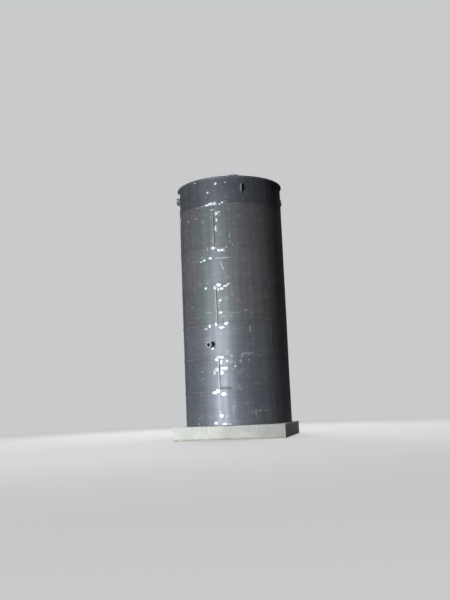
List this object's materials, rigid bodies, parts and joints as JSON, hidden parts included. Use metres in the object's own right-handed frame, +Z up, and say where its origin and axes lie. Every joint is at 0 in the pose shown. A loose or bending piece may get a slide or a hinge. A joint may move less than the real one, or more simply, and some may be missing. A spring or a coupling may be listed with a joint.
{
  "type": "vertical storage tank",
  "caption": "Upright welded steel storage tank with a low cone roof, roof manhole, side nozzle and lifting lugs, on a square concrete plinth.",
  "frame": {"origin": "middle of the plinth's underside, at ground level", "axes": "+Z up along the tank's axis, -Y towards the plinth side that the picture shows best, +X to its right"},
  "size_m": [5.0298, 5.2094, 12.5106],
  "materials": {
    "concrete": "cast concrete, matt, stained",
    "shell_steel": "bare rolled plate with dark mill scale and light rust",
    "top_steel": "bare rolled plate, bluish mill scale",
    "roof_steel": "bare rolled plate, matt mill scale",
    "trim_steel": "bare steel, lightly rusted"
  },
  "bodies": {
    "root": {"plinth": "concrete", "floor_plate": "shell_steel", "shell_1_plate_1": "shell_steel", "shell_1_plate_2": "shell_steel", "shell_1_plate_3": "shell_steel", "shell_2_plate_1": "shell_steel", "shell_2_plate_2": "shell_steel", "shell_2_plate_3": "shell_steel", "shell_3_plate_1": "shell_steel", "shell_3_plate_2": "shell_steel", "shell_3_plate_3": "shell_steel", "shell_4_plate_1": "shell_steel", "shell_4_plate_2": "shell_steel", "shell_4_plate_3": "shell_steel", "shell_5_plate_1": "shell_steel", "shell_5_plate_2": "shell_steel", "shell_5_plate_3": "shell_steel", "shell_6_plate_1": "shell_steel", "shell_6_plate_2": "shell_steel", "shell_6_plate_3": "shell_steel", "shell_7_plate_1": "top_steel", "shell_7_plate_2": "top_steel", "shell_7_plate_3": "top_steel", "top_curb_angle": "shell_steel", "roof_cone": "roof_steel", "roof_manhole_neck": "roof_steel", "roof_manhole_cover": "roof_steel", "roof_vent_pipe": "trim_steel", "roof_vent_elbow_1": "trim_steel", "roof_vent_elbow_2": "trim_steel", "nozzle_neck": "trim_steel", "nozzle_flange": "trim_steel", "nozzle_pad": "trim_steel", "lifting_lug_1": "trim_steel", "lifting_lug_2": "trim_steel", "lifting_lug_3": "trim_steel", "lifting_lug_4": "trim_steel"}
  },
  "joints": []
}
